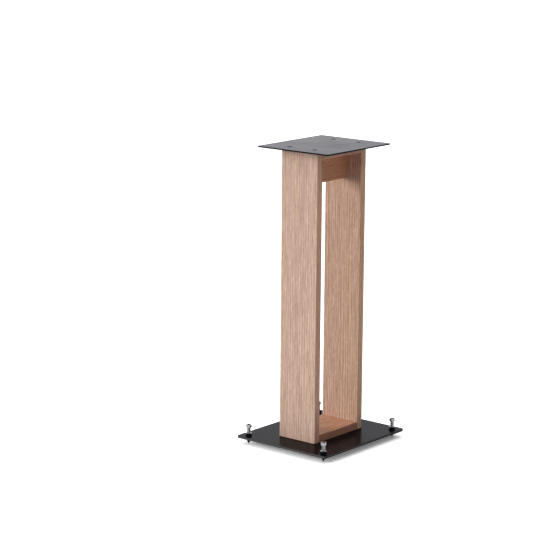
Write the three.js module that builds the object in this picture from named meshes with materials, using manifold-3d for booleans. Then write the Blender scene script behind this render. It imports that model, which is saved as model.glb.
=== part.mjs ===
// A speaker stand, in millimetres, +Z up. The origin is on the floor under the middle of the
// stand, and the front, one of the column's two wide faces, looks along -Y. A column of wooden
// boards, open from side to side, stands between two steel plates on four adjustable spikes.

import * as THREE from "three";
import { mergeVertices } from "three/addons/utils/BufferGeometryUtils.js";
import Module from "manifold-3d";

// Wooden column
const COLUMN_HEIGHT = 600;
const COLUMN_WIDTH = 92;
const COLUMN_DEPTH = 159;
const BOARD_THICKNESS = 16;
const BOARD_ARRIS = 0.8;
const RAIL_HEIGHT = 56;
const RAIL_THICKNESS = 16;

// Steel plates
const TOP_WIDTH = 180;
const TOP_DEPTH = 210;
const TOP_THICKNESS = 3;
const TOP_CORNER_RADIUS = 5;
const BASE_WIDTH = 232;
const BASE_DEPTH = 268;
const BASE_THICKNESS = 5;
const BASE_CORNER_RADIUS = 6;
const PLATE_CHAMFER = 0.4;
const FLOOR_CLEARANCE = 13;

// Spikes, each one turned piece with a socket head, a shank that screws through the plate
// and a point
const FOOT_INSET = 18;
const SPIKE_DIAMETER = 8;
const SPIKE_LENGTH = 35;
const SPIKE_POINT_LENGTH = 7;
const SPIKE_TIP_DIAMETER = 1;
const SPIKE_HEAD_DIAMETER = 12;
const SPIKE_HEAD_HEIGHT = 6;
const SPIKE_HEAD_ROUND = 1.2;
const SPIKE_HEAD_CHAMFER = 0.5;
const SPIKE_SOCKET_WIDTH = 6;
const SPIKE_SOCKET_DEPTH = 3.5;

// Round lock nuts
const NUT_DIAMETER = 13;
const NUT_HEIGHT = 5;
const NUT_CHAMFER = 0.6;
const NUT_BORE_CHAMFER = 0.6;

// Countersunk connecting screws, through the plates into the ends of the uprights
const SCREW_SPACING = 64;
const SCREW_LENGTH = 50;
const SCREW_POINT_LENGTH = 5;
const SCREW_CORE_DIAMETER = 5;
const SCREW_SHOULDER_DIAMETER = 7;
const SCREW_SHOULDER_END = 12;
const SCREW_HEAD_DIAMETER = 10;
const SCREW_HEAD_RIM = 0.3;
const SCREW_RECESS = 0.2;
const SCREW_SOCKET_WIDTH = 4;
const SCREW_SOCKET_DEPTH = 2.4;

// Fluted dowels, glued into blind holes
const DOWEL_DIAMETER = 8;
const DOWEL_LENGTH = 30;
const DOWEL_IN_UPRIGHT = 11;
const DOWEL_END_SPACE = 0.5;
const DOWEL_CHAMFER = 0.8;
const DOWEL_FLUTES = 6;
const DOWEL_FLUTE_DEPTH = 0.5;
const BOARD_DOWEL_SPACING = 40;
const RAIL_DOWEL_SPACING = 32;

// Fits and facets
const SEAT_GAP = 0.1;
const HOLE_CLEARANCE = 0.3;
const OVERSHOOT = 1;
const ROUND_SIDES = 24;
const SCREW_SIDES = 16;
const CORNER_STEPS = 4;
const ARRIS_STEPS = 1;
const ROUND_STEPS = 3;
const MERGE_DISTANCE = 1e-4;

// Places, in the frame whose z = 0 is the top of the base plate
const BASE_TOP = FLOOR_CLEARANCE + BASE_THICKNESS;
const INNER_DEPTH = COLUMN_DEPTH - 2 * BOARD_THICKNESS;
const UPRIGHT_Y = (COLUMN_DEPTH - BOARD_THICKNESS) / 2;
const UPRIGHT_LENGTH = COLUMN_HEIGHT - 2 * SEAT_GAP;
const TIE_LENGTH = INNER_DEPTH - 2 * SEAT_GAP;
const TOP_BOARD_Z = COLUMN_HEIGHT - SEAT_GAP - BOARD_THICKNESS / 2;
const BOTTOM_BOARD_Z = SEAT_GAP + BOARD_THICKNESS / 2;
const RAIL_Z = COLUMN_HEIGHT - BOARD_THICKNESS - 2 * SEAT_GAP - RAIL_HEIGHT / 2;
const DOWEL_Y = INNER_DEPTH / 2 + DOWEL_IN_UPRIGHT - DOWEL_LENGTH / 2;
const FOOT_X = BASE_WIDTH / 2 - FOOT_INSET;
const FOOT_Y = BASE_DEPTH / 2 - FOOT_INSET;

const SIDES = Object.entries({ front: -1, rear: 1 });
const HANDS = Object.entries({ left: -1, right: 1 });
const LEVELS = Object.entries({ lower: -1, upper: 1 });

const FINISHES = {
  oak: { color: 0xcbab99, roughness: 0.55, metalness: 0 },
  beech: { color: 0xd8bc94, roughness: 0.7, metalness: 0 },
  satinBlack: { color: 0x2b2b2e, roughness: 0.35, metalness: 0 },
  brightSteel: { color: 0xc8c8cc, roughness: 0.15, metalness: 1 },
  blackSteel: { color: 0x1b1b1d, roughness: 0.45, metalness: 1 },
};

const wasm = await Module();
wasm.setup();

// A closed geometry as a solid that can be cut and joined.
function solid(geometry) {
  const bare = geometry.clone();
  bare.deleteAttribute("normal");
  bare.deleteAttribute("uv");
  const shared = mergeVertices(bare, MERGE_DISTANCE);
  return new wasm.Manifold(
    new wasm.Mesh({
      numProp: 3,
      vertProperties: shared.attributes.position.array,
      triVerts: shared.index.array,
    }),
  );
}

// A cut or joined solid as a geometry with flat facets.
function geometryOf(shape) {
  const { vertProperties, triVerts } = shape.getMesh();
  const shared = new THREE.BufferGeometry();
  shared.setAttribute("position", new THREE.BufferAttribute(vertProperties, 3));
  shared.setIndex(new THREE.BufferAttribute(triVerts, 1));
  const faceted = shared.toNonIndexed();
  faceted.computeVertexNormals();
  return faceted;
}

// A named mesh with a material of its own, at a place in its group.
function piece(name, finish, geometry, x, y, z) {
  const mesh = new THREE.Mesh(geometry, new THREE.MeshStandardMaterial(FINISHES[finish]));
  mesh.name = name;
  mesh.position.set(x, y, z);
  return mesh;
}

// A placed piece less the tools, which stand in the same group as the piece.
function drilled(mesh, tools) {
  mesh.updateMatrix();
  const intoPiece = mesh.matrix.clone().invert();
  const moved = tools.map((tool) => solid(tool.clone().applyMatrix4(intoPiece)));
  mesh.geometry = geometryOf(moved.reduce((rest, tool) => rest.subtract(tool), solid(mesh.geometry)));
  return mesh;
}

// A solid of revolution about Z, from [radius, height] pairs that rise from axis to axis.
function turned(profile, sides) {
  const points = profile.map(([radius, height]) => new THREE.Vector2(radius, height));
  return new THREE.LatheGeometry(points, sides).rotateX(Math.PI / 2);
}

// A hexagonal prism about Z from z = bottom to z = top, width being measured across its flats.
function hexPrism(width, bottom, top) {
  const radius = width / Math.sqrt(3);
  const prism = new THREE.CylinderGeometry(radius, radius, top - bottom, 6);
  return prism.rotateX(Math.PI / 2).translate(0, 0, (bottom + top) / 2);
}

// A tool for a round hole from z = bottom to z = top, widened at both faces by a chamfer.
function throughHole(radius, bottom, top, chamfer) {
  const mouth = radius + chamfer + OVERSHOOT;
  return turned(
    [
      [0, bottom - OVERSHOOT],
      [mouth, bottom - OVERSHOOT],
      [radius, bottom + chamfer],
      [radius, top - chamfer],
      [mouth, top + OVERSHOOT],
      [0, top + OVERSHOOT],
    ],
    ROUND_SIDES,
  );
}

// A rectangle with round corners, about the origin.
function roundedRectangle(width, depth, radius) {
  const x = width / 2 - radius;
  const y = depth / 2 - radius;
  const outline = new THREE.Shape();
  outline.absarc(x, -y, radius, -Math.PI / 2, 0);
  outline.absarc(x, y, radius, 0, Math.PI / 2);
  outline.absarc(-x, y, radius, Math.PI / 2, Math.PI);
  outline.absarc(-x, -y, radius, Math.PI, 1.5 * Math.PI);
  return outline;
}

// A prism between z = 0 and z = height, with a chamfer round both of its ends.
function chamferedPrism(outline, height, chamfer, curveSegments) {
  const prism = new THREE.ExtrudeGeometry(outline, {
    depth: height - 2 * chamfer,
    bevelThickness: chamfer,
    bevelSize: chamfer,
    bevelOffset: -chamfer,
    bevelSegments: 1,
    curveSegments,
  });
  return prism.translate(0, 0, chamfer);
}

// A board that stands on z = 0, with softened edges.
function board(width, thickness, length) {
  const section = roundedRectangle(width, thickness, BOARD_ARRIS);
  return chamferedPrism(section, length, BOARD_ARRIS, ARRIS_STEPS);
}

// A board that lies along Y between the uprights, about the origin.
function tie(width, height) {
  return board(width, height, TIE_LENGTH)
    .translate(0, 0, -TIE_LENGTH / 2)
    .rotateX(Math.PI / 2);
}

// What fill gives for each of the four corners: (corner name, sign of x, sign of y).
function atCorners(fill) {
  return SIDES.flatMap(([sideName, side]) =>
    HANDS.map(([handName, hand]) => fill(`${sideName}_${handName}`, hand, side)),
  );
}

// A connecting screw that points down from its head at z = 0. The same form drills the
// screw's holes, grown by a clearance and carried past the head.
function screwForm(clearance, headRoom) {
  const core = SCREW_CORE_DIAMETER / 2 + clearance;
  const shoulder = SCREW_SHOULDER_DIAMETER / 2 + clearance;
  const head = SCREW_HEAD_DIAMETER / 2 + clearance;
  const point = -SCREW_LENGTH - clearance;
  const shoulderEnd = -SCREW_SHOULDER_END - clearance;
  const underRim = -SCREW_HEAD_RIM - clearance;
  return turned(
    [
      [0, point],
      [core, point + SCREW_POINT_LENGTH],
      [core, shoulderEnd],
      [shoulder, shoulderEnd + shoulder - core],
      [shoulder, underRim - (head - shoulder)],
      [head, underRim],
      [head, headRoom],
      [0, headRoom],
    ],
    SCREW_SIDES,
  );
}

function screwBody() {
  const socket = hexPrism(SCREW_SOCKET_WIDTH, -SCREW_SOCKET_DEPTH, OVERSHOOT);
  return geometryOf(solid(screwForm(0, 0)).subtract(solid(socket)));
}

function screw(name, x, y, z, turn) {
  const mesh = piece(name, "blackSteel", screwBody(), x, y, z);
  mesh.rotation.x = turn;
  return mesh;
}

// The eight screws: four point down through the top plate, four up through the base plate.
function screws() {
  return atCorners((corner, hand, side) => {
    const x = (hand * SCREW_SPACING) / 2;
    const y = side * UPRIGHT_Y;
    const topFace = COLUMN_HEIGHT + TOP_THICKNESS - SCREW_RECESS;
    const bottomFace = SCREW_RECESS - BASE_THICKNESS;
    return [
      screw(`top_screw_${corner}`, x, y, topFace, 0),
      screw(`base_screw_${corner}`, x, y, bottomFace, Math.PI),
    ];
  }).flat();
}

// The tools for the holes of placed screws.
function screwHoles(placedScrews) {
  return placedScrews.map((mesh) => {
    mesh.updateMatrix();
    return screwForm(HOLE_CLEARANCE, OVERSHOOT).applyMatrix4(mesh.matrix);
  });
}

// A dowel along Z, about the origin: straight flutes between narrow lands.
function dowelBody() {
  const radius = DOWEL_DIAMETER / 2;
  const pitch = (2 * Math.PI) / DOWEL_FLUTES;
  const outline = new THREE.Shape();
  for (let flute = 0; flute < DOWEL_FLUTES; flute += 1) {
    const start = flute * pitch;
    const fluteRadius = radius - DOWEL_FLUTE_DEPTH;
    const steps = [
      [radius, start],
      [radius, start + pitch / 3],
      [radius, start + (2 * pitch) / 3],
      [fluteRadius, start + (5 * pitch) / 6],
    ];
    steps.forEach(([r, angle], step) => {
      const point = [r * Math.cos(angle), r * Math.sin(angle)];
      if (flute + step === 0) outline.moveTo(...point);
      else outline.lineTo(...point);
    });
  }
  outline.closePath();
  return chamferedPrism(outline, DOWEL_LENGTH, DOWEL_CHAMFER, 1).translate(0, 0, -DOWEL_LENGTH / 2);
}

function dowel(name, x, side, z) {
  const mesh = piece(name, "beech", dowelBody(), x, side * DOWEL_Y, z);
  mesh.rotation.x = Math.PI / 2;
  return mesh;
}

// Two dowels in each end of the top board, of the bottom board and of the rail.
function dowels() {
  const boardDowels = atCorners((corner, hand, side) => {
    const x = (hand * BOARD_DOWEL_SPACING) / 2;
    return [
      dowel(`top_dowel_${corner}`, x, side, TOP_BOARD_Z),
      dowel(`bottom_dowel_${corner}`, x, side, BOTTOM_BOARD_Z),
    ];
  }).flat();
  const railDowels = SIDES.flatMap(([sideName, side]) =>
    LEVELS.map(([levelName, level]) =>
      dowel(`rail_dowel_${sideName}_${levelName}`, 0, side, RAIL_Z + (level * RAIL_DOWEL_SPACING) / 2),
    ),
  );
  return [...boardDowels, ...railDowels];
}

// The tools for the blind holes of placed dowels.
function dowelHoles(placedDowels) {
  const radius = DOWEL_DIAMETER / 2 + HOLE_CLEARANCE;
  const length = DOWEL_LENGTH + 2 * DOWEL_END_SPACE;
  return placedDowels.map((mesh) => {
    const hole = new THREE.CylinderGeometry(radius, radius, length, ROUND_SIDES);
    return hole.translate(...mesh.position.toArray());
  });
}

// A full-height board, with its inner face towards the middle of the stand.
function upright(name, side) {
  const body = board(COLUMN_WIDTH, BOARD_THICKNESS, UPRIGHT_LENGTH);
  return piece(name, "oak", body, 0, side * UPRIGHT_Y, SEAT_GAP);
}

function uprights() {
  return SIDES.map(([sideName, side]) => upright(`${sideName}_board`, side));
}

// The level boards at both ends of the column and the rail on edge under the upper one.
function ties() {
  return [
    piece("top_board", "oak", tie(COLUMN_WIDTH, BOARD_THICKNESS), 0, 0, TOP_BOARD_Z),
    piece("bottom_board", "oak", tie(COLUMN_WIDTH, BOARD_THICKNESS), 0, 0, BOTTOM_BOARD_Z),
    piece("cross_rail", "oak", tie(RAIL_THICKNESS, RAIL_HEIGHT), 0, 0, RAIL_Z),
  ];
}

function plate(name, width, depth, thickness, cornerRadius, z) {
  const outline = roundedRectangle(width, depth, cornerRadius);
  const sheet = chamferedPrism(outline, thickness, PLATE_CHAMFER, CORNER_STEPS);
  return piece(name, "satinBlack", sheet, 0, 0, z);
}

function topPlate() {
  return plate("top_plate", TOP_WIDTH, TOP_DEPTH, TOP_THICKNESS, TOP_CORNER_RADIUS, COLUMN_HEIGHT);
}

function basePlate() {
  const blank = plate(
    "base_plate",
    BASE_WIDTH,
    BASE_DEPTH,
    BASE_THICKNESS,
    BASE_CORNER_RADIUS,
    -BASE_THICKNESS,
  );
  const radius = SPIKE_DIAMETER / 2 + HOLE_CLEARANCE;
  const spikeHoles = atCorners((corner, hand, side) =>
    throughHole(radius, -BASE_THICKNESS, 0, PLATE_CHAMFER).translate(hand * FOOT_X, side * FOOT_Y, 0),
  );
  return drilled(blank, spikeHoles);
}

// Profile points of the quarter round from a head's side, at this radius, up to its top.
function roundedRim(radius, top, round) {
  return Array.from({ length: ROUND_STEPS + 1 }, (_, step) => {
    const angle = (step / ROUND_STEPS) * (Math.PI / 2);
    return [radius - round * (1 - Math.cos(angle)), top - round * (1 - Math.sin(angle))];
  });
}

// A spike whose tip is on the floor, in the frame of its foot.
function spike(name) {
  const tip = -BASE_TOP;
  const neck = tip + SPIKE_LENGTH;
  const top = neck + SPIKE_HEAD_HEIGHT;
  const shank = SPIKE_DIAMETER / 2;
  const head = SPIKE_HEAD_DIAMETER / 2;
  const body = turned(
    [
      [0, tip],
      [SPIKE_TIP_DIAMETER / 2, tip],
      [shank, tip + SPIKE_POINT_LENGTH],
      [shank, neck],
      [head - SPIKE_HEAD_CHAMFER, neck],
      [head, neck + SPIKE_HEAD_CHAMFER],
      ...roundedRim(head, top, SPIKE_HEAD_ROUND),
      [0, top],
    ],
    ROUND_SIDES,
  );
  const socket = hexPrism(SPIKE_SOCKET_WIDTH, top - SPIKE_SOCKET_DEPTH, top + OVERSHOOT);
  return piece(name, "brightSteel", geometryOf(solid(body).subtract(solid(socket))), 0, 0, 0);
}

// A round nut that stands on the plate, chamfered at both faces, outside and in the bore.
function lockNut(name) {
  const radius = NUT_DIAMETER / 2;
  const ring = turned(
    [
      [0, 0],
      [radius - NUT_CHAMFER, 0],
      [radius, NUT_CHAMFER],
      [radius, NUT_HEIGHT - NUT_CHAMFER],
      [radius - NUT_CHAMFER, NUT_HEIGHT],
      [0, NUT_HEIGHT],
    ],
    ROUND_SIDES,
  );
  const bore = throughHole(SPIKE_DIAMETER / 2 + HOLE_CLEARANCE, 0, NUT_HEIGHT, NUT_BORE_CHAMFER);
  return piece(name, "brightSteel", geometryOf(solid(ring).subtract(solid(bore))), 0, 0, SEAT_GAP);
}

// The spike and its lock nut in one corner of the base plate.
function foot(corner, hand, side) {
  const group = new THREE.Group();
  group.position.set(hand * FOOT_X, side * FOOT_Y, 0);
  return group.add(spike(`spike_${corner}`), lockNut(`lock_nut_${corner}`));
}

function stand() {
  const allScrews = screws();
  const allDowels = dowels();
  const throughScrews = screwHoles(allScrews);
  const forDowels = dowelHoles(allDowels);
  const frame = new THREE.Group();
  frame.position.z = BASE_TOP;
  frame.add(
    drilled(topPlate(), throughScrews),
    drilled(basePlate(), throughScrews),
    ...uprights().map((mesh) => drilled(mesh, [...throughScrews, ...forDowels])),
    ...ties().map((mesh) => drilled(mesh, forDowels)),
    ...allScrews,
    ...allDowels,
    ...atCorners(foot),
  );
  return new THREE.Group().add(frame);
}

export default stand();
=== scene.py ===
# A speaker stand dressed for its picture: an open column in pale oak veneer between two black
# steel plates, on bright threaded spikes with lock nuts. Everything is in metres, +Z up.

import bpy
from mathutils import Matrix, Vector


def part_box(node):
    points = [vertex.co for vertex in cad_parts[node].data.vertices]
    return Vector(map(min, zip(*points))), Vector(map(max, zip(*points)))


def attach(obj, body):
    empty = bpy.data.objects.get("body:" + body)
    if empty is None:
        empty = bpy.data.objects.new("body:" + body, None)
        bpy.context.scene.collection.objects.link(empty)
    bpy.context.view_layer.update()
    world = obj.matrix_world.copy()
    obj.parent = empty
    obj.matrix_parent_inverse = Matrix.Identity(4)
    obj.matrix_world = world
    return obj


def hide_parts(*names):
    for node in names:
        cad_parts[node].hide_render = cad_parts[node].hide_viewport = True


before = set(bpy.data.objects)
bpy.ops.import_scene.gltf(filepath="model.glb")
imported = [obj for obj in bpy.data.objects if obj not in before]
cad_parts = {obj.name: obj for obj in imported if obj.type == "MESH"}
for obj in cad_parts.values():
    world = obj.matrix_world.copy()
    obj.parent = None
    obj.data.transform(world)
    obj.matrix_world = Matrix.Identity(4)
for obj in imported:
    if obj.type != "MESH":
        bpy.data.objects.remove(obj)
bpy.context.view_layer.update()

from math import ceil, cos, pi, radians, sin, tau

import bmesh
import bpy
from mathutils import Matrix, Vector
from mathutils.geometry import tessellate_polygon

# Camera
PHOTO_WIDTH = 535
CAMERA_PLACE = Vector((2.5496, -3.2647, 1.2303))
CAMERA_AZIMUTH = radians(39.554)
CAMERA_ELEVATION = radians(11.772)
CAMERA_ROLL = radians(0.392)
FOCAL_LENGTH_PX = 2068.6
SENSOR_WIDTH_MM = 36.0

# Studio: what the sky gives, what is seen of the room, and the floor
WHITE = (1, 1, 1, 1)
SKY_LOW = 0.09
SKY_OVERHEAD = 1.12
CEILING_SEEN = 0.12
WALL_TOP = 0.35
CEILING_START = 0.75
WALL_IN_GLOSS = (0.95, 0.95, 1.0, 1)
# The lamp's azimuth, elevation, apparent size and irradiance
KEY = (radians(-50), radians(13), radians(34), 0.89)
FLOOR_SIZE = 80.0
FLOOR_COLOR = 0.6
FLOOR_SEEN = 3.5
FLOOR_IN_GLOSS = 1.6
FLOOR_LIFT = 0.15

# Forms finer than the frame's
ARRIS = 0.00025
ARRIS_STEPS = 4
CORNER_STEPS = 12
ROUND_SIDES = 96
TOP_CORNER_RADIUS = 0.005
BASE_CORNER_RADIUS = 0.006

THREAD_PITCH = 0.00125
THREAD_DEPTH = 0.00065
THREAD_CREST = 1.6
THREAD_SLOPE = 4.4
THREAD_ROWS = 8
THREAD_SIDES = 48
SPIKE_RADIUS = 0.004
SPIKE_POINT_LENGTH = 0.007
SPIKE_TIP_RADIUS = 0.0005
SPIKE_NECK = 0.001
SPIKE_HEAD_HEIGHT = 0.006
SPIKE_HEAD_ROUND = 0.0012
HEXAGON_CORNERS = 1.1547
SPIKE_SOCKET_WIDTH = 0.006
SPIKE_SOCKET_DEPTH = 0.0035
FINE_CHAMFER = 0.0003
NUT_CHAMFER = 0.0006
NUT_BORE_RADIUS = 0.0042
KNURLS = 64
KNURL_DEPTH = 0.00016
KNURL_STEPS = 6

SCREW_HOLE_CLEARANCE = 0.0003
SCREW_SHOULDER_RADIUS = 0.0035
SCREW_CORE_RADIUS = 0.0025
SCREW_THREAD_PITCH = 0.003
SCREW_SHOULDER_END = 0.012
SCREW_POINT_LENGTH = 0.005
SCREW_SOCKET_WIDTH = 0.004
SCREW_SOCKET_DEPTH = 0.0024
SCREW_RIM = 0.0003
SPIKE_HOLE_CLEARANCE = 0.0002

SMOOTH_BELOW = radians(32)
SIDES = ("front", "rear")
HANDS = ("left", "right")
CORNERS = [f"{side}_{hand}" for side in SIDES for hand in HANDS]


# ---------------------------------------------------------------- materials

def srgb(red, green, blue):
    """A colour as seen on a screen, from 0 to 255, as a linear RGBA."""
    def linear(value):
        share = value / 255
        return share / 12.92 if share <= 0.04045 else ((share + 0.055) / 1.055) ** 2.4
    return (linear(red), linear(green), linear(blue), 1.0)


# Oak tones. OAK_FACE is the veneer's own colour. The rest are copies of it. They are made warmer,
# and mostly darker, as painted shade for the rear and top boards, the bottom board, the cross rail
# and the sides that face left and right. They are made lighter as painted light for the rear
# board's sides.
OAK_FACE = srgb(207, 176, 158)
OAK_SIDE_SHADE_TINT = srgb(219, 172, 146)
OAK_FAR_SIDE_LIGHT_TINT = srgb(225, 180, 152)
OAK_INNER_SHADE_TINT = srgb(198, 164, 144)
OAK_BOTTOM_SHADE_TINT = srgb(204, 154, 125)
OAK_BOTTOM_SIDE_SHADE_TINT = srgb(180, 130, 106)
OAK_RAIL_SHADE_TINT = srgb(214, 154, 122)
OAK_SPECULAR = 0.15
OAK_ROUGHNESS = (0.46, 0.62)
OAK_RELIEF = 0.00022
# What the tone, the hue and the pores of the grain do to the oak's colour
OAK_GRAIN = [(0.30, (0.76, 0.71, 0.67, 1)), (0.45, (0.93, 0.92, 0.91, 1)),
             (0.55, (1.04, 1.04, 1.04, 1)), (0.70, (1.30, 1.34, 1.38, 1))]
OAK_HUES = [(0.40, (1.0, 0.988, 1.008, 1)), (0.60, (1.0, 1.008, 0.980, 1))]
OAK_PORE = (0.62, 0.52, 0.46, 1)
OAK_PORE_SHARE = 0.45
# Weight, stretch along the grain, features a metre and detail of each layer of the grain
OAK_LAYERS = [(0.08, 0.03, 30.0, 1.0), (0.16, 0.01, 420.0, 0.0), (0.40, 0.05, 420.0, 0.0),
              (0.32, 0.11, 800.0, 0.0), (0.16, 0.25, 1100.0, 0.0)]
# Stretch along the grain and features a metre of what bends, drifts, fades and tints it
GRAIN_BEND = (0.3, 9.0)
RING_WANDER = (0.015, 40.0)
RING_FADE = (0.06, 60.0)
HUE_BANDS = (0.02, 55.0)
PORES = (0.035, 2300.0)
# Growth rings: metres apart, radians of drift and depth of tone
RING_SPACING = 0.006
RING_DRIFT = 14.0
RING_DEPTH = 0.105

BEECH_TONES = [(0.35, srgb(196, 160, 116)), (0.65, srgb(224, 196, 152))]
PAINT_TINT = (0.93, 0.91, 1.0, 1.0)
PAINT_TONES = [(0.3, srgb(8, 8, 12)), (0.7, srgb(12, 12, 17))]
PAINT_ROUGHNESS = (0.19, 0.25)
# Index of refraction, and tone of the edges: on the base plate a light grey, painted light for what
# its edges catch; on the top plate a little darker than the faces
TOP_PAINT = (1.195, srgb(6, 6, 10))
BASE_PAINT = (1.103, srgb(82, 81, 82))
BRIGHT_TONES = [(0.3, srgb(182, 182, 184)), (0.7, srgb(202, 202, 204))]
BRIGHT_ROUGHNESS = (0.04, 0.1)
# Painted shade: below the base plate's underside the spikes' points take this darker tone, blended
# in over this height.
POINT_SHADE_TONE = srgb(70, 70, 74)
POINT_SHADE_BLEND = 0.0005
OXIDE_TONES = [(0.35, srgb(18, 18, 19)), (0.7, srgb(36, 36, 38))]
OXIDE_ROUGHNESS = (0.35, 0.5)


class Nodes:
    """A node tree with short calls to fill it."""

    def __init__(self, tree):
        self.tree = tree

    def add(self, kind, inputs=None, **settings):
        node = self.tree.nodes.new(f"ShaderNode{kind}")
        for name, value in settings.items():
            setattr(node, name, value)
        for socket, value in (inputs or {}).items():
            self.feed(node.inputs[socket], value)
        return node

    def feed(self, socket, value):
        if isinstance(value, bpy.types.NodeSocket):
            self.tree.links.new(value, socket)
        else:
            socket.default_value = value

    def math(self, operation, first, second=0.0):
        return self.add("Math", {0: first, 1: second}, operation=operation).outputs[0]

    def scaled(self, value, factor, added):
        inputs = {0: value, 1: factor, 2: added}
        return self.add("Math", inputs, operation="MULTIPLY_ADD").outputs[0]

    def spread(self, value, low, high, to_low=0.0, to_high=1.0):
        return self.add("MapRange", {0: value, 1: low, 2: high, 3: to_low, 4: to_high}).outputs[0]

    def mixed(self, share, first, second, blend="MIX"):
        inputs = {0: share, 6: first, 7: second}
        return self.add("Mix", inputs, data_type="RGBA", blend_type=blend).outputs[2]


class Shading(Nodes):
    """A new material's node tree, with constants set on its surface's sockets."""

    def __init__(self, name, **constants):
        self.material = bpy.data.materials.new(name)
        self.material.use_nodes = True
        super().__init__(self.material.node_tree)
        self.surface = self.tree.nodes["Principled BSDF"]
        for socket, value in constants.items():
            self.surface.inputs[socket.replace("_", " ")].default_value = value
        self.texture = self.add("TexCoord")
        self.place = self.texture.outputs["Object"]

    def surfaced(self, **sources):
        for socket, value in sources.items():
            self.feed(self.surface.inputs[socket.replace("_", " ")], value)

    def moved(self, scale, offset=(0, 0, 0)):
        return self.add("Mapping", {0: self.place, 1: offset, 3: scale}).outputs[0]

    def noise(self, vector, scale, detail=2.0):
        inputs = {"Vector": vector, "Scale": scale, "Detail": detail}
        return self.add("TexNoise", inputs).outputs[0]

    def facing(self, axis):
        """How far the surface faces along an axis of its object, either way."""
        way = self.add("SeparateXYZ", {0: self.texture.outputs["Normal"]}).outputs[axis]
        return self.math("ABSOLUTE", way)

    def ramp(self, value, stops):
        node = self.add("ValToRGB", {0: value})
        elements = node.color_ramp.elements
        while len(elements) < len(stops):
            elements.new(0.5)
        for element, (position, color) in zip(elements, stops):
            element.position = position
            element.color = color
        return node.outputs[0]

    def bump(self, height, distance, strength):
        node = self.add("Bump", {"Height": height, "Distance": distance, "Strength": strength})
        self.surfaced(Normal=node.outputs[0])


def along(axis, stretch):
    """Scale that draws a pattern out along the grain axis."""
    return tuple(stretch if letter == axis else 1.0 for letter in "xyz")


def across(axis):
    """1 on the axes that the grain crosses, 0 on its own."""
    return [0.0 if letter == axis else 1.0 for letter in "xyz"]


def oak(name, axis, seed, face, edge=None, contrast=1.0, figure=0.0):
    """Pale oak veneer whose grain runs along an axis. Figure bends the grain into arches. The
    long narrow sides, which face left and right, can have another tone, painted light and shade for
    sides that face that way."""
    wood = Shading(name, Specular_IOR_Level=OAK_SPECULAR)
    shift = (0.37 * seed, 0.53 * seed, 0.71 * seed)
    stretch, scale = GRAIN_BEND
    waver = wood.noise(wood.moved(along(axis, stretch), shift), scale, 1.0)
    bend = wood.spread(waver, 0.0, 1.0, -0.5 * figure, 0.5 * figure)
    offset = wood.add("CombineXYZ", {0: bend, 1: bend, 2: bend}).outputs[0]

    def grain(stretch, scale, detail=1.0):
        place = wood.add("VectorMath", {0: wood.moved(along(axis, stretch), shift), 1: offset})
        return wood.noise(place.outputs[0], scale, detail)

    tone = 0.0
    for weight, stretch, scale, detail in OAK_LAYERS:
        layer = wood.spread(grain(stretch, scale, detail), 0.0, 1.0, -0.5, 0.5)
        tone = wood.scaled(layer, weight, tone)
    inputs = {0: wood.place, 1: across(axis)}
    depth = wood.add("VectorMath", inputs, operation="DOT_PRODUCT").outputs["Value"]
    drift = wood.math("MULTIPLY", grain(*RING_WANDER), RING_DRIFT)
    phase = wood.scaled(depth, tau / RING_SPACING, drift)
    strength = wood.spread(grain(*RING_FADE), 0.35, 0.65, 0.2 * RING_DEPTH, RING_DEPTH)
    rings = wood.math("MULTIPLY", wood.math("SINE", phase), strength)
    tone = wood.scaled(wood.math("ADD", tone, rings), contrast, 0.5)

    # Painted light and shade: sides that face left or right take the side tone.
    narrow = wood.spread(wood.facing("X"), 0.6, 0.8)
    ground = wood.mixed(narrow, face, edge or face)
    color = wood.mixed(1.0, ground, wood.ramp(tone, OAK_GRAIN), "MULTIPLY")
    color = wood.mixed(1.0, color, wood.ramp(grain(*HUE_BANDS), OAK_HUES), "MULTIPLY")
    pores = wood.spread(grain(*PORES), 0.60, 0.70)
    pore_color = wood.mixed(1.0, color, OAK_PORE, "MULTIPLY")
    wood.surfaced(
        Base_Color=wood.mixed(wood.math("MULTIPLY", pores, OAK_PORE_SHARE), color, pore_color),
        Roughness=wood.spread(pores, 0.0, 1.0, *OAK_ROUGHNESS),
    )
    wood.bump(wood.math("SUBTRACT", tone, wood.math("MULTIPLY", pores, 0.4)), OAK_RELIEF, 0.5)
    return wood.material


def beech(name):
    """Bare turned beech with a fine fleck."""
    wood = Shading(name, Roughness=0.7)
    streak = wood.noise(wood.moved(along("y", 0.05)), 1500.0)
    wood.surfaced(Base_Color=wood.ramp(streak, BEECH_TONES))
    wood.bump(streak, 0.0001, 0.4)
    return wood.material


def black_paint(name, ior, edge):
    """Semi-gloss black paint on steel, with a hint of orange peel. Its edges, which face sideways,
    take a tone of their own; on the base plate this is painted light.
    """
    paint = Shading(name, IOR=ior, Specular_Tint=PAINT_TINT)
    peel = paint.noise(paint.place, 900.0)
    cloud = paint.noise(paint.place, 14.0)
    # Sideways faces take the edge tone: painted light on the base plate.
    flat = paint.spread(paint.facing("Z"), 0.5, 0.9)
    paint.surfaced(
        Base_Color=paint.mixed(flat, edge, paint.ramp(cloud, PAINT_TONES)),
        Roughness=paint.spread(cloud, 0.3, 0.7, *PAINT_ROUGHNESS),
    )
    paint.bump(peel, 0.00001, 0.3)
    return paint.material


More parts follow.
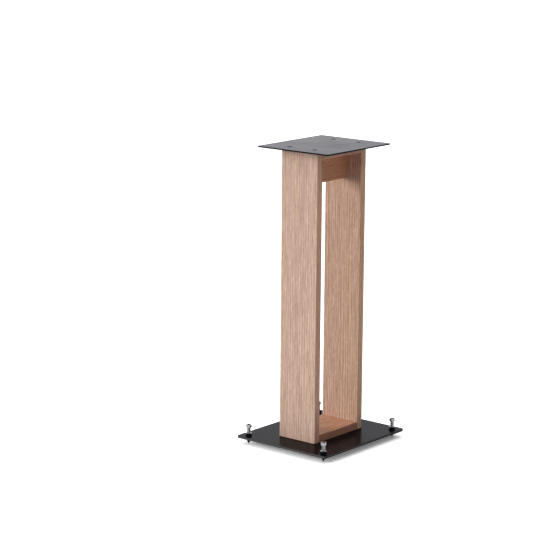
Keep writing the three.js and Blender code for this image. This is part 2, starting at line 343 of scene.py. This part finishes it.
def bright_plate(name, point_shade_below):
    """Bright plating, with fine turning marks round a vertical axis. Below a given height it takes
    a darker tone, painted shade on the points under the base plate.
    """
    metal = Shading(name, Metallic=1.0)
    marks = metal.noise(metal.moved((1.0, 1.0, 12.0)), 700.0)
    smear = metal.noise(metal.place, 240.0)
    height = metal.add("SeparateXYZ", {0: metal.place}).outputs["Z"]
    above_point_shade = metal.spread(height, point_shade_below - POINT_SHADE_BLEND, point_shade_below)
    metal.surfaced(
        Base_Color=metal.mixed(above_point_shade, POINT_SHADE_TONE, metal.ramp(smear, BRIGHT_TONES)),
        Roughness=metal.spread(smear, 0.3, 0.7, *BRIGHT_ROUGHNESS),
    )
    metal.bump(marks, 0.000008, 0.5)
    return metal.material


def black_steel(name):
    """A dull black oxide film, a little rubbed."""
    metal = Shading(name, IOR=1.12)
    rub = metal.noise(metal.place, 1200.0, 3.0)
    metal.surfaced(
        Base_Color=metal.ramp(rub, OXIDE_TONES),
        Roughness=metal.spread(rub, 0.3, 0.7, *OXIDE_ROUGHNESS),
    )
    metal.bump(rub, 0.00001, 0.5)
    return metal.material


def dress(node, material):
    """Gives a CAD node's object this material."""
    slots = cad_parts[node].data.materials
    slots.clear()
    slots.append(material)


# ---------------------------------------------------------------- meshes

def mesh_piece(name, vertices, faces, material):
    """A closed mesh object with smooth rounds and sharp edges."""
    mesh = bpy.data.meshes.new(name)
    mesh.from_pydata(vertices, [], faces)
    shape = bmesh.new()
    shape.from_mesh(mesh)
    bmesh.ops.recalc_face_normals(shape, faces=shape.faces)
    shape.to_mesh(mesh)
    shape.free()
    mesh.shade_smooth()
    mesh.set_sharp_from_angle(angle=SMOOTH_BELOW)
    mesh.materials.append(material)
    piece = bpy.data.objects.new(name, mesh)
    bpy.context.scene.collection.objects.link(piece)
    level = piece.modifiers.new("level normals", "WEIGHTED_NORMAL")
    level.keep_sharp = True
    level.weight = 100
    return piece


def stand_for(piece, node, body):
    """Shows a piece in place of a CAD node, on its body."""
    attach(piece, body)
    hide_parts(node)


def radius_at(radius, turn):
    return radius(turn) if callable(radius) else radius


def turned(name, rings, sides, axis, material, tube=False):
    """A surface round a vertical axis. Rings are (height, radius) pairs, a radius being a number
    or a function of the turn. A tube's last ring joins its first, and other ends close."""
    turns = [tau * side / sides for side in range(sides)]
    vertices = []
    for z, radius in rings:
        for turn in turns:
            reach = radius_at(radius, turn)
            vertices.append((axis.x + reach * cos(turn), axis.y + reach * sin(turn), z))
    faces = []
    count = len(rings)
    for row in range(count if tube else count - 1):
        low, high = row * sides, (row + 1) % count * sides
        for side in range(sides):
            after = (side + 1) % sides
            faces.append((low + side, low + after, high + after, high + side))
    if not tube:
        for row in (0, count - 1):
            pole = len(vertices)
            vertices.append((axis.x, axis.y, rings[row][0]))
            loop = row * sides
            faces += [(loop + side, loop + (side + 1) % sides, pole) for side in range(sides)]
    return mesh_piece(name, vertices, faces, material)


def hexagon(width):
    """The radius of a hexagon, measured across its flats, as a function of the turn."""
    return lambda turn: width / 2 / cos(turn % (pi / 3) - pi / 6)


def quarter_round(radius, top, size, steps):
    """Rings of a rounded rim that rises from a side of this radius to its top."""
    turns = [pi / 2 * step / steps for step in range(steps + 1)]
    return [(top - size * (1 - sin(turn)), radius - size * (1 - cos(turn))) for turn in turns]


def thread(bottom, top, core, depth, pitch):
    """Rings of a screw thread of trapezoid section that runs out at both ends."""
    rows = ceil((top - bottom) / pitch * THREAD_ROWS)

    def ring(height):
        fade = min(1.0, (height - bottom) / pitch, (top - height) / pitch)

        def radius(turn):
            phase = (height / pitch - turn / tau) % 1.0
            rise = min(1.0, max(0.0, THREAD_CREST - THREAD_SLOPE * abs(phase - 0.5)))
            return core + depth * fade * rise
        return radius
    heights = [bottom + (top - bottom) * row / rows for row in range(rows + 1)]
    return [(height, ring(height)) for height in heights]


def socket(top, width, depth):
    """Rings of a hexagon socket, from the rim of its mouth down to its floor."""
    mouth = width * HEXAGON_CORNERS / 2 + FINE_CHAMFER
    return [
        (top, mouth),
        (top - FINE_CHAMFER, hexagon(width)),
        (top - depth, hexagon(width)),
        (top - depth - FINE_CHAMFER, width / 4),
    ]


def spike(corner, material):
    """A threaded spike: point, thread and a round head with a hexagon socket."""
    node = f"spike_{corner}"
    low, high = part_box(node)
    axis = (low + high) / 2
    head = (high.x - low.x) / 2
    neck = high.z - SPIKE_HEAD_HEIGHT
    core = SPIKE_RADIUS - THREAD_DEPTH
    shoulder = low.z + SPIKE_POINT_LENGTH
    rings = [
        (low.z, SPIKE_TIP_RADIUS * 0.5),
        (low.z + SPIKE_TIP_RADIUS * 0.4, SPIKE_TIP_RADIUS),
        (shoulder, SPIKE_RADIUS - FINE_CHAMFER / 2),
        (shoulder + FINE_CHAMFER, SPIKE_RADIUS - FINE_CHAMFER / 2),
        *thread(shoulder + THREAD_DEPTH, neck - SPIKE_NECK, core, THREAD_DEPTH, THREAD_PITCH),
        (neck - SPIKE_NECK + FINE_CHAMFER, SPIKE_RADIUS - FINE_CHAMFER / 2),
        (neck - FINE_CHAMFER, SPIKE_RADIUS - FINE_CHAMFER / 2),
        (neck, head - FINE_CHAMFER),
        (neck + FINE_CHAMFER, head),
        *quarter_round(head, high.z, SPIKE_HEAD_ROUND, ARRIS_STEPS),
        *socket(high.z, SPIKE_SOCKET_WIDTH, SPIKE_SOCKET_DEPTH),
    ]
    piece = turned(f"turned_{node}", rings, THREAD_SIDES, axis, material)
    stand_for(piece, node, node)


def lock_nut(corner, material, dark):
    """A round lock nut with bright faces and chamfers and a dark knurled rim between them."""
    node = f"lock_nut_{corner}"
    low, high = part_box(node)
    axis = (low + high) / 2
    outer = (high.x - low.x) / 2

    def knurled(turn):
        tooth = turn * KNURLS / tau % 1.0
        return outer - KNURL_DEPTH * abs(2 * tooth - 1)
    chamfer_foot = outer - KNURL_DEPTH
    rings = [
        (low.z, outer - NUT_CHAMFER),
        (low.z + NUT_CHAMFER - KNURL_DEPTH, chamfer_foot),
        (low.z + NUT_CHAMFER, knurled),
        (high.z - NUT_CHAMFER, knurled),
        (high.z - NUT_CHAMFER + KNURL_DEPTH, chamfer_foot),
        (high.z, outer - NUT_CHAMFER),
        (high.z, NUT_BORE_RADIUS + NUT_CHAMFER),
        (high.z - NUT_CHAMFER, NUT_BORE_RADIUS),
        (low.z + NUT_CHAMFER, NUT_BORE_RADIUS),
        (low.z, NUT_BORE_RADIUS + NUT_CHAMFER),
    ]
    piece = turned(f"knurled_{node}", rings, KNURLS * KNURL_STEPS, axis, material, tube=True)
    piece.data.materials.append(dark)
    for face in piece.data.polygons:
        if abs(face.normal.z) < 0.5:
            face.material_index = 1
    stand_for(piece, node, node)


def connecting_screw(end, corner, material):
    """A countersunk screw with a hexagon socket, which points away from its plate."""
    node = f"{end}_screw_{corner}"
    low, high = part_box(node)
    axis = (low + high) / 2
    head = (high.x - low.x) / 2
    length = high.z - low.z
    point = -length + SCREW_POINT_LENGTH
    cone = -SCREW_RIM - (head - SCREW_SHOULDER_RADIUS)
    core = SCREW_CORE_RADIUS - SCREW_RIM
    rings = [
        (-length, SPIKE_TIP_RADIUS / 2),
        (point, core),
        *thread(point, -SCREW_SHOULDER_END, core, SCREW_RIM, SCREW_THREAD_PITCH),
        (-SCREW_SHOULDER_END, SCREW_SHOULDER_RADIUS),
        (cone, SCREW_SHOULDER_RADIUS),
        (-SCREW_RIM, head),
        (-SCREW_RIM / 3, head),
        (0.0, head - SCREW_RIM / 2),
        *socket(0.0, SCREW_SOCKET_WIDTH, SCREW_SOCKET_DEPTH),
    ]
    outward = 1 if end == "top" else -1
    face = high.z if end == "top" else low.z
    placed = [(face + outward * height, radius) for height, radius in rings]
    piece = turned(f"socket_{node}", placed, THREAD_SIDES, axis, material)
    stand_for(piece, node, "stand")


def rounded_rectangle(width, depth, radius, inset):
    """Points of a rectangle with round corners, drawn in by an inset."""
    points = []
    for quarter, (x, y) in enumerate(((1, 1), (-1, 1), (-1, -1), (1, -1))):
        for step in range(CORNER_STEPS + 1):
            turn = pi / 2 * (quarter + step / CORNER_STEPS)
            points.append((
                x * (width / 2 - radius) + (radius - inset) * cos(turn),
                y * (depth / 2 - radius) + (radius - inset) * sin(turn),
            ))
    return points


def circle(centre, radius):
    """Points of a circle."""
    turns = [tau * side / ROUND_SIDES for side in range(ROUND_SIDES)]
    return [(centre[0] + radius * cos(turn), centre[1] + radius * sin(turn)) for turn in turns]


def arris(low, high):
    """(inset, height) pairs down the edge of a plate whose arrises are rounded."""
    turns = [pi / 2 * step / ARRIS_STEPS for step in range(ARRIS_STEPS + 1)]
    upper = [(ARRIS * (1 - sin(turn)), high - ARRIS * (1 - cos(turn))) for turn in turns]
    lower = [(inset, low + high - height) for inset, height in reversed(upper)]
    return upper + lower


def plate(node, corner_radius, holes, material):
    """A steel plate with rounded arrises. Each hole is a list of loops of points, from the top
    face to the bottom one, as (points, height)."""
    low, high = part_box(node)
    size = high - low
    edge = [
        (rounded_rectangle(size.x, size.y, corner_radius, inset), height)
        for inset, height in arris(low.z, high.z)
    ]
    walls = [edge, *holes]
    vertices, faces = [], []
    caps = ([], [])
    for wall in walls:
        start, count = len(vertices), len(wall[0][0])
        vertices += [(x, y, height) for points, height in wall for x, y in points]
        for row in range(len(wall) - 1):
            above, below = start + row * count, start + (row + 1) * count
            for side in range(count):
                after = (side + 1) % count
                faces.append((above + side, above + after, below + after, below + side))
        caps[0].append(range(start, start + count))
        caps[1].append(range(start + (len(wall) - 1) * count, start + len(wall) * count))
    for loops in caps:
        order = [index for loop in loops for index in loop]
        outlines = [[Vector(vertices[index]) for index in loop] for loop in loops]
        faces += [tuple(order[corner] for corner in face) for face in tessellate_polygon(outlines)]
    piece = mesh_piece(f"painted_{node}", vertices, faces, material)
    stand_for(piece, node, "stand")


def screw_holes(plate_node, end):
    """Countersunk holes for the connecting screws of one plate."""
    low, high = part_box(plate_node)
    mouth, far, inward = (high.z, low.z, -1) if end == "top" else (low.z, high.z, 1)
    holes = []
    for corner in CORNERS:
        near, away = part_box(f"{end}_screw_{corner}")
        centre = (near + away) / 2
        head = (away.x - near.x) / 2 + SCREW_HOLE_CLEARANCE
        bore = SCREW_SHOULDER_RADIUS + SCREW_HOLE_CLEARANCE
        seat = mouth + inward * SCREW_RIM * 2
        levels = [
            (head + SCREW_RIM / 2, mouth),
            (head, mouth + inward * SCREW_RIM / 2),
            (head, seat),
            (bore, seat + inward * (head - bore)),
            (bore, far),
        ]
        if end == "base":
            levels.reverse()
        holes.append([(circle(centre, radius), height) for radius, height in levels])
    return holes


def spike_holes():
    """Holes for the spikes in the base plate, with rounded arrises."""
    low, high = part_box("base_plate")
    holes = []
    for corner in CORNERS:
        near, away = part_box(f"spike_{corner}")
        radius = SPIKE_RADIUS + SPIKE_HOLE_CLEARANCE
        levels = [(radius + inset, height) for inset, height in arris(low.z, high.z)]
        holes.append([(circle((near + away) / 2, size), height) for size, height in levels])
    return holes


# ---------------------------------------------------------------- stage

def photographer():
    """The camera, where the photograph was taken from."""
    camera = bpy.data.objects.new("camera", bpy.data.cameras.new("camera"))
    bpy.context.scene.collection.objects.link(camera)
    camera.data.sensor_width = SENSOR_WIDTH_MM
    camera.data.lens = FOCAL_LENGTH_PX / PHOTO_WIDTH * SENSOR_WIDTH_MM
    camera.data.clip_end = 2 * FLOOR_SIZE
    camera.matrix_world = (
        Matrix.Translation(CAMERA_PLACE)
        @ Matrix.Rotation(CAMERA_AZIMUTH, 4, "Z")
        @ Matrix.Rotation(pi / 2 - CAMERA_ELEVATION, 4, "X")
        @ Matrix.Rotation(CAMERA_ROLL, 4, "Z")
    )
    bpy.context.scene.camera = camera


def seen_directly(nodes, in_gloss=1.0):
    """1 for a ray that shows the background as it is: from the camera or through a glass. A gloss
    shows this share of it."""
    path = nodes.add("LightPath").outputs
    gloss = nodes.math("MULTIPLY", path["Is Glossy Ray"], in_gloss)
    direct = nodes.math("MAXIMUM", path["Is Camera Ray"], path["Is Transmission Ray"])
    return nodes.math("MAXIMUM", direct, gloss)


def sky():
    """A sky that lights most from overhead. It is seen as white walls under a dim ceiling, and a
    gloss shows them a little cool."""
    world = bpy.data.worlds.new("sky")
    bpy.context.scene.world = world
    world.use_nodes = True
    nodes = Nodes(world.node_tree)
    way = nodes.add("TexCoord").outputs["Generated"]
    height = nodes.add("SeparateXYZ", {0: way}).outputs["Z"]
    wall = nodes.spread(height, WALL_TOP, CEILING_START, 1.0, CEILING_SEEN)
    square = nodes.math("MULTIPLY", height, height)
    light = nodes.spread(square, 0.0, 1.0, SKY_LOW, SKY_OVERHEAD)
    strength = nodes.add("Mix", {0: seen_directly(nodes), 2: light, 3: wall}).outputs[0]
    gloss = nodes.add("LightPath").outputs["Is Glossy Ray"]
    background = nodes.tree.nodes["Background"]
    nodes.feed(background.inputs["Color"], nodes.mixed(gloss, WHITE, WALL_IN_GLOSS))
    nodes.feed(background.inputs["Strength"], strength)


def lamp(name, azimuth, elevation, size, irradiance):
    """A soft lamp far away. Its azimuth is measured from the front towards the right. Gloss shows
    the room's white walls in its place."""
    light = bpy.data.lights.new(name, "SUN")
    light.energy = irradiance * pi
    light.angle = size
    holder = bpy.data.objects.new(name, light)
    bpy.context.scene.collection.objects.link(holder)
    holder.visible_glossy = False
    towards = Vector((
        sin(azimuth) * cos(elevation),
        -cos(azimuth) * cos(elevation),
        sin(elevation),
    ))
    holder.rotation_mode = "QUATERNION"
    holder.rotation_quaternion = towards.to_track_quat("Z", "Y")


def floor():
    """A sheet of paper that is seen white, and lights the stand from below less than that."""
    half = FLOOR_SIZE / 2
    mesh = bpy.data.meshes.new("floor")
    corners = [(-half, -half, 0), (half, -half, 0), (half, half, 0), (-half, half, 0)]
    mesh.from_pydata(corners, [], [(0, 1, 2, 3)])
    ground = bpy.data.objects.new("floor", mesh)
    bpy.context.scene.collection.objects.link(ground)
    paper = Shading("paper", Roughness=1.0, Specular_IOR_Level=0.0, Emission_Color=WHITE)
    seen = seen_directly(paper, (FLOOR_IN_GLOSS - 1) / (FLOOR_SEEN - 1))
    level = paper.spread(seen, 0.0, 1.0, FLOOR_COLOR, FLOOR_COLOR * FLOOR_SEEN)
    paper.surfaced(
        Base_Color=paper.add("CombineColor", {0: level, 1: level, 2: level}).outputs[0],
        Emission_Strength=paper.spread(seen, 0.0, 1.0, 0.0, FLOOR_LIFT),
    )
    mesh.materials.append(paper.material)


# ---------------------------------------------------------------- the stand

def wooden_column():
    # The front's tone is the oak's own. The other boards' tones are painted shade, and the rear
    # board's sides are painted light.
    dress("front_board", oak("oak_front", "z", 1, OAK_FACE, OAK_SIDE_SHADE_TINT))
    dress("rear_board", oak("oak_rear", "z", 2, OAK_INNER_SHADE_TINT, OAK_FAR_SIDE_LIGHT_TINT, 1.25))
    dress("top_board", oak("oak_top", "y", 3, OAK_INNER_SHADE_TINT, OAK_SIDE_SHADE_TINT, figure=0.01))
    dress("bottom_board", oak("oak_bottom", "y", 4, OAK_BOTTOM_SHADE_TINT, OAK_BOTTOM_SIDE_SHADE_TINT, 1.2, 0.02))
    dress("cross_rail", oak("oak_rail", "y", 5, OAK_RAIL_SHADE_TINT, OAK_RAIL_SHADE_TINT, 0.6, 0.01))
    dowel = beech("beech")
    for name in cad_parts:
        if "_dowel_" in name:
            dress(name, dowel)


def metalwork():
    # The spikes' plating is painted darker below the base plate's underside, as painted shade.
    bright = bright_plate("bright_plate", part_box("base_plate")[0].z)
    steel = black_steel("black_steel")
    holes = screw_holes("top_plate", "top")
    plate("top_plate", TOP_CORNER_RADIUS, holes, black_paint("black_paint_top", *TOP_PAINT))
    holes = screw_holes("base_plate", "base") + spike_holes()
    plate("base_plate", BASE_CORNER_RADIUS, holes, black_paint("black_paint_base", *BASE_PAINT))
    for corner in CORNERS:
        spike(corner, bright)
        lock_nut(corner, bright, steel)
        connecting_screw("top", corner, steel)
        connecting_screw("base", corner, steel)


photographer()
sky()
lamp("key", *KEY)
floor()
wooden_column()
metalwork()
bpy.context.scene.view_settings.view_transform = "Standard"
